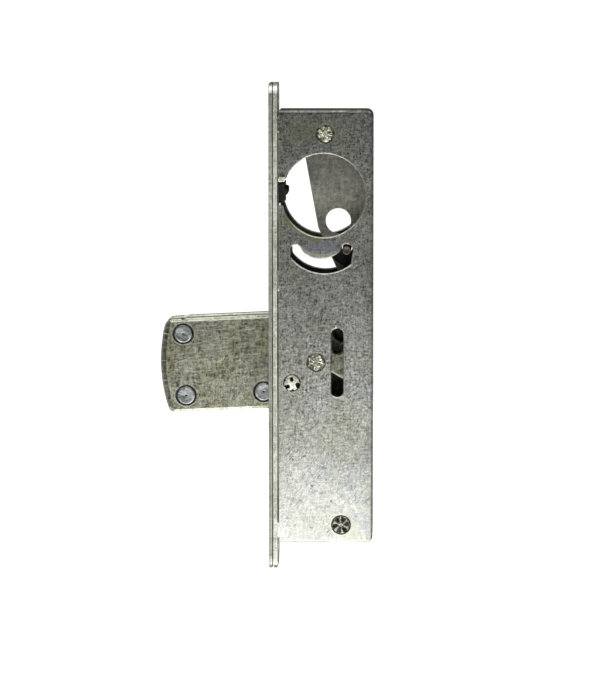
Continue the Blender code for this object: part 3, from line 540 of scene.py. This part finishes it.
def ended_shaft(name, node, radius, drops, rough):
    """Round shaft along Y in the place of a CAD node, with a shaped end at each side.

    rough is the height of the hammered unevenness, in millimetres.
    """
    low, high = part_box(node)
    centre = (low + high) / 2
    mesh = bmesh.new()
    near_pole, near = end_rings(mesh, centre, low.y, -1, radius * MM, drops[0], rough)
    far_pole, far = end_rings(mesh, centre, high.y, 1, radius * MM, drops[1], rough)
    for k in range(END_SIDES):
        j = (k + 1) % END_SIDES
        for pole, rings in ((near_pole, near), (far_pole, far)):
            mesh.faces.new((pole, rings[0][k], rings[0][j]))
            for inner, outer in zip(rings, rings[1:]):
                mesh.faces.new((inner[k], outer[k], outer[j], inner[j]))
        mesh.faces.new((near[-1][k], far[-1][k], far[-1][j], near[-1][j]))
    bmesh.ops.recalc_face_normals(mesh, faces=mesh.faces)
    data = bpy.data.meshes.new(name)
    mesh.to_mesh(data)
    mesh.free()
    data.shade_smooth()
    data.set_sharp_from_angle(angle=radians(50))
    piece = bpy.data.objects.new(name, data)
    bpy.context.scene.collection.objects.link(piece)
    return piece


def replace_node(prefix, node, radius, drops, rough, finish):
    """Stands a shaft with shaped ends in for a plain CAD pin of the same place and length."""
    piece = ended_shaft(prefix + node, node, radius, drops, rough)
    piece.data.materials.append(finish)
    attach(piece, body_of(node))
    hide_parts(node)


POST_R, GUIDE_R, RIVET_R, PIN_R = 3.22, 2.87, 3.36, 1.6
# where each kind of end's face stands, above the painted shade in its pits, as metres from the middle of
# the lock
POST_REACH, STAR_REACH, GUIDE_REACH, PIN_REACH, RIVET_REACH = 0.01300, 0.01303, 0.01290, 0.01249, 0.00807


def make_ends():
    hammered = pitted_metal("hammered_steel", (0.78, 0.77, 0.62), 0.30, POST_REACH, 0.00042, 0.32)
    staked = pitted_metal("staked_steel", (0.52, 0.52, 0.43), 0.34, STAR_REACH, 0.00055, 0.10)
    domed = pitted_metal("domed_steel", (0.95, 0.93, 0.80), 0.52, GUIDE_REACH, 0.00050)
    pin = pitted_metal("pin_steel", (0.20, 0.17, 0.14), 0.42, PIN_REACH, 0.00040)
    headed = pitted_metal("rivet_end_steel", (0.46, 0.49, 0.48), 0.40, RIVET_REACH, 0.00048)
    dimples = (dimple_drop, dimple_drop)
    replace_node("staked_", "lever_post", POST_R, (hammered_drop, star_drop), 0.30, hammered)
    replace_node("staked_", "bolt_post", POST_R, (hammered_drop, star_drop), 0.32, hammered)
    replace_node("staked_", "lower_post", POST_R, (star_drop, star_drop), 0.16, staked)
    replace_node("staked_", "guide_rivet", GUIDE_R, (punched_drop, dimple_drop), 0.02, domed)
    replace_node("dimpled_", "locking_pin", PIN_R, dimples, 0.02, pin)
    for place in ("upper", "lower", "heel", "inner"):
        replace_node("headed_", "bolt_rivet_" + place, RIVET_R, dimples, 0.03, headed)


# ============================================================================================
# finishes of the CAD nodes that stay in view
# ============================================================================================
def dress_nodes(finishes):
    for name, node in NODES.items():
        if node.hide_render:
            continue
        node.data.materials.clear()
        node.data.materials.append(finishes[slot_of(name)])


# ============================================================================================
# floor, room and light
# ============================================================================================
FLOOR_SIZE, FLOOR_DROP = 6.0, 0.30
FLOOR_SEEN = 1.7               # how bright the floor is to the camera
FLOOR_GLOW = (0.20, 0.42, 3.2, 0.03)   # to the metal: bright from and dim to, and how bright
ROOM_SEEN = 1.1
ROOM_DIM = 0.045               # what the metal sees around itself, away from the lights
CEILING = (0.54, 0.76, 1.5)    # heights where it starts and is full, and how bright it is
CEILING_END = (0.15, 0.55, 0.05)       # how far behind the lock it fades, and to what share
LEFT_WALL = (-0.85, -0.45, 0.24)       # where it is full and where it ends, and how bright it is
CARD_HEIGHT, CARD_AWAY, CARD_SIZE, CARD_POWER = -0.292, 0.25, (0.6, 0.30), 1.08


def make_stage():
    bpy.ops.mesh.primitive_plane_add(size=FLOOR_SIZE, location=(0, 0, CAD_BOX[0][2] - FLOOR_DROP))
    floor = bpy.context.object
    floor.name = "floor"
    r = Recipe("pale_floor")
    tone = r.blend(r.band(r.noise(6.0), 0.3, 0.7), (0.60, 0.60, 0.59), (0.62, 0.62, 0.61))
    r.finish(tone, 0.9, 0.0)
    seen = r.add("ShaderNodeLightPath").outputs["Is Camera Ray"]
    r.feed(r.shader.inputs["Emission Color"], tone)
    glow = r.band(r.vector("LENGTH", r.place, out="Value"), *FLOOR_GLOW)
    r.feed(r.shader.inputs["Emission Strength"], r.math("MAXIMUM", r.product(seen, FLOOR_SEEN), glow))
    floor.data.materials.append(r.material)


def make_world():
    """White to the camera; to the metal, a dim room with a bright ceiling that ends behind it."""
    world = bpy.data.worlds.new("studio")
    bpy.context.scene.world = world
    world.use_nodes = True
    tree = world.node_tree
    tree.nodes.clear()
    place = tree.nodes.new("ShaderNodeTexCoord")
    axes = tree.nodes.new("ShaderNodeSeparateXYZ")
    tree.links.new(place.outputs["Generated"], axes.inputs[0])

    def ramp(axis, low, high, start, end):
        node = tree.nodes.new("ShaderNodeMapRange")
        node.interpolation_type = "SMOOTHSTEP"
        tree.links.new(axes.outputs[axis], node.inputs["Value"])
        ends = (("From Min", low), ("From Max", high), ("To Min", start), ("To Max", end))
        for key, number in ends:
            node.inputs[key].default_value = number
        return node.outputs[0]

    def joined(operation, first, second):
        node = tree.nodes.new("ShaderNodeMath")
        node.operation = operation
        tree.links.new(first, node.inputs[0])
        if isinstance(second, bpy.types.NodeSocket):
            tree.links.new(second, node.inputs[1])
        else:
            node.inputs[1].default_value = second
        return node.outputs[0]

    def background(colour, strength):
        node = tree.nodes.new("ShaderNodeBackground")
        node.inputs["Color"].default_value = colour
        if isinstance(strength, bpy.types.NodeSocket):
            tree.links.new(strength, node.inputs["Strength"])
        else:
            node.inputs["Strength"].default_value = strength
        return node.outputs[0]

    start, full, bright = CEILING
    near, far, share = CEILING_END
    ceiling = joined("MULTIPLY", ramp("Z", start, full, 0.0, bright), ramp("Y", near, far, 1.0, share))
    left_full, left_end, left_bright = LEFT_WALL
    left = ramp("X", left_full, left_end, left_bright, 0.0)
    room = joined("ADD", joined("ADD", ceiling, ROOM_DIM), left)
    ray = tree.nodes.new("ShaderNodeLightPath")
    mix = tree.nodes.new("ShaderNodeMixShader")
    out = tree.nodes.new("ShaderNodeOutputWorld")
    tree.links.new(ray.outputs["Is Camera Ray"], mix.inputs[0])
    tree.links.new(background((1.0, 1.0, 0.98, 1), room), mix.inputs[1])
    tree.links.new(background((1, 1, 1, 1), ROOM_SEEN), mix.inputs[2])
    tree.links.new(mix.outputs[0], out.inputs[0])


def make_low_card():
    """Light card close in front, which brightens the lower part of the side wall."""
    data = bpy.data.lights.new("low_card", "AREA")
    data.shape = "RECTANGLE"
    data.size, data.size_y = CARD_SIZE
    data.energy = CARD_POWER
    card = bpy.data.objects.new("low_card", data)
    bpy.context.scene.collection.objects.link(card)
    card.location = (0.02, -CARD_AWAY, CARD_HEIGHT)
    card.rotation_euler = Vector((0, 1, 0)).to_track_quat("-Z", "Y").to_euler()
    card.visible_camera = False


# ============================================================================================
make_camera()
FINISHES = make_finishes()
make_ends()
dress_nodes(FINISHES)
make_stage()
make_world()
make_low_card()

bpy.context.scene.view_settings.view_transform = "Standard"
